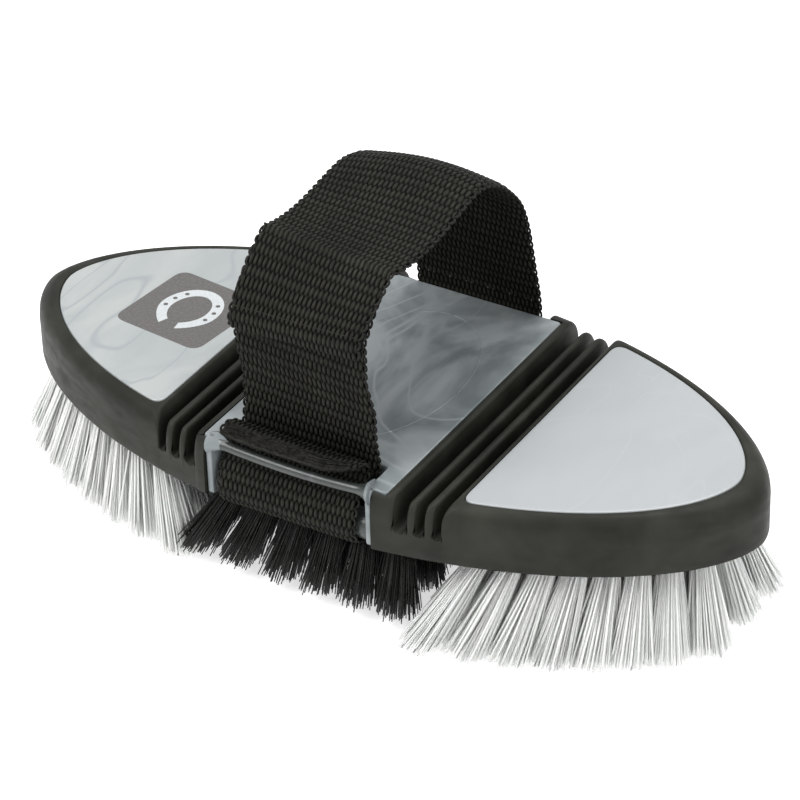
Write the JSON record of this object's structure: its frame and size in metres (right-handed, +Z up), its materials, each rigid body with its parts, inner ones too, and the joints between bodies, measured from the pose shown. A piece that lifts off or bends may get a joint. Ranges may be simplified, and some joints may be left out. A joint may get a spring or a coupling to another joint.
{
  "type": "flexible horse body brush",
  "caption": "Oval grooming brush: three bristled plastic sections joined by ribbed rubber bellows, with a webbing hand strap over the middle.",
  "frame": {"origin": "Under the middle of the brush, on the plane that the bristle tips stand on.", "axes": "+X along the brush's length, +Z up out of the silver plates towards the strap, -Y the side where the strap is opened."},
  "size_m": [0.2096, 0.0956, 0.0912],
  "materials": {
    "silver_plastic": "pearl silver, moulded, with faint marbled swirls",
    "black_rubber": "satin overmoulded rubber",
    "black_webbing": "plain woven synthetic webbing",
    "hook_and_loop": "hook and loop pile",
    "white_bristle": "translucent white filament",
    "black_bristle": "black filament"
  },
  "bodies": {
    "centre": {"centre_body": "silver_plastic", "centre_bristles_1": "black_bristle", "centre_bristles_2": "black_bristle", "centre_bristles_3": "black_bristle", "centre_bristles_4": "black_bristle", "centre_bristles_5": "black_bristle", "centre_bristles_6": "black_bristle", "left_bellows": "black_rubber", "right_bellows": "black_rubber", "strap_rear_loop": "black_webbing", "strap_tab": "black_webbing", "tab_patch": "hook_and_loop"},
    "right_wing": {"right_bristles_1": "white_bristle", "right_bristles_2": "white_bristle", "right_bristles_3": "white_bristle", "right_bristles_4": "white_bristle", "right_bristles_5": "white_bristle", "right_bristles_6": "white_bristle", "right_bristles_7": "white_bristle", "right_bristles_8": "white_bristle", "right_rim": "black_rubber", "right_wing_core": "silver_plastic"},
    "left_wing": {"left_bristles_1": "white_bristle", "left_bristles_2": "white_bristle", "left_bristles_3": "white_bristle", "left_bristles_4": "white_bristle", "left_bristles_5": "white_bristle", "left_bristles_6": "white_bristle", "left_bristles_7": "white_bristle", "left_bristles_8": "white_bristle", "left_rim": "black_rubber", "left_wing_core": "silver_plastic"},
    "strap": {"strap_long": "black_webbing", "strap_patch": "hook_and_loop"}
  },
  "joints": [
    {"name": "right_flex", "type": "hinge", "parent": "centre", "child": "right_wing", "pos_m": [0.035, 0, 0.027], "axis": [0, -1, 0], "range_deg": [-14, 25], "stiffness_Nm_per_rad": 1.2, "deforming": ["right_bellows"]},
    {"name": "left_flex", "type": "hinge", "parent": "centre", "child": "left_wing", "pos_m": [-0.035, 0, 0.027], "axis": [0, 1, 0], "range_deg": [-14, 25], "stiffness_Nm_per_rad": 1.2, "deforming": ["left_bellows"]},
    {"name": "strap_open", "type": "hinge", "parent": "centre", "child": "strap", "pos_m": [0, 0.0448, 0.0354], "axis": [-1, 0, 0], "range_deg": [0, 60]}
  ]
}
